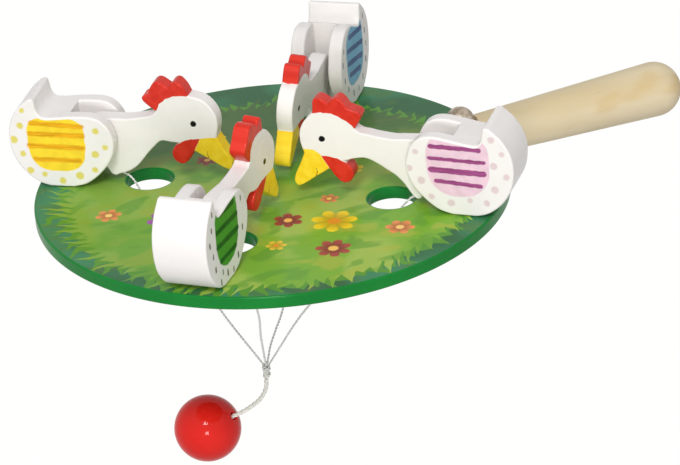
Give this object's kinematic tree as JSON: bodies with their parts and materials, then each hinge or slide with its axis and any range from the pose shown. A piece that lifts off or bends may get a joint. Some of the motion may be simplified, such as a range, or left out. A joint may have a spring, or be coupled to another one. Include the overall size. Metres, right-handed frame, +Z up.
{
  "type": "pecking chickens toy",
  "caption": "Round painted wooden paddle with pecking chickens that bob their heads when a ball swings on strings below it.",
  "frame": {"origin": "on the handle's axis where a hand grips it, level with the middle of the board's thickness", "axes": "+X along the handle away from the board, +Z up, square to the board's top face"},
  "size_m": [0.2498, 0.17, 0.1572],
  "materials": {
    "board_paint": "plywood under glossy green paint with a painted meadow on top",
    "handle_wood": "bare turned wood, satin",
    "bird_paint": "board under glossy white paint with painted comb, beak, wattle and wings",
    "ball_paint": "turned bead under glossy red lacquer",
    "antique_brass": "dark aged brass, domed",
    "steel": "plain wire and screws",
    "cotton": "off-white twisted cotton"
  },
  "bodies": {
    "board": {"board": "board_paint", "handle": "handle_wood", "handle_screw": "antique_brass", "pink_plate_left": "bird_paint", "pink_plate_right": "bird_paint", "pink_tail_block": "bird_paint", "pink_pin": "steel", "pink_screw": "steel", "blue_plate_left": "bird_paint", "blue_plate_right": "bird_paint", "blue_tail_block": "bird_paint", "blue_pin": "steel", "blue_screw": "steel", "yellow_plate_left": "bird_paint", "yellow_plate_right": "bird_paint", "yellow_tail_block": "bird_paint", "yellow_pin": "steel", "yellow_screw": "steel", "green_plate_left": "bird_paint", "green_plate_right": "bird_paint", "green_tail_block": "bird_paint", "green_pin": "steel", "green_screw": "steel"},
    "pink_head": {"pink_neck": "bird_paint", "pink_string_upper": "cotton"},
    "blue_head": {"blue_neck": "bird_paint", "blue_string_upper": "cotton"},
    "yellow_head": {"yellow_neck": "bird_paint", "yellow_string_upper": "cotton"},
    "green_head": {"green_neck": "bird_paint", "green_string_upper": "cotton"},
    "harness": {"pink_string_lower": "cotton", "blue_string_lower": "cotton", "yellow_string_lower": "cotton", "green_string_lower": "cotton", "string_knot": "cotton"},
    "cord_link": {"cord_loop": "cotton"},
    "ball": {"main_cord": "cotton", "ball": "ball_paint", "ball_knot": "cotton"}
  },
  "joints": [
    {"name": "pink_peck", "type": "hinge", "parent": "board", "child": "pink_head", "pos_m": [-0.08308, -0.0422, 0.0214], "axis": [0.6717, 0.7408, 0], "range_deg": [0, 20]},
    {"name": "blue_peck", "type": "hinge", "parent": "board", "child": "blue_head", "pos_m": [-0.08677, 0.04167, 0.0214], "axis": [-0.766, 0.6428, 0], "range_deg": [0, 20]},
    {"name": "yellow_peck", "type": "hinge", "parent": "board", "child": "yellow_head", "pos_m": [-0.17362, 0.03783, 0.0214], "axis": [-0.6115, -0.7912, 0], "range_deg": [0, 20]},
    {"name": "green_peck", "type": "hinge", "parent": "board", "child": "green_head", "pos_m": [-0.16447, -0.04418, 0.0214], "axis": [0.7193, -0.6947, 0], "range_deg": [0, 20]},
    {"name": "cord_pull", "type": "slide", "parent": "board", "child": "harness", "axis": [0, 0, -1], "range_m": [0, 0.002]},
    {"name": "cord_swing", "type": "hinge", "parent": "harness", "child": "cord_link", "pos_m": [-0.1324, 0.0029, -0.0722], "axis": [0.7295, 0.684, 0], "range_deg": [-101, 19]},
    {"name": "ball_swing", "type": "hinge", "parent": "cord_link", "child": "ball", "pos_m": [-0.132, 0.004, -0.0756], "axis": [-0.51, 0.543, 0.6671], "range_deg": [-60, 60]}
  ],
  "couplings": [
    {"joint": "blue_peck", "follows": "pink_peck", "ratio": 1},
    {"joint": "yellow_peck", "follows": "pink_peck", "ratio": 1},
    {"joint": "green_peck", "follows": "pink_peck", "ratio": 1},
    {"joint": "cord_pull", "follows": "pink_peck", "m_per_rad": 0.0049}
  ]
}
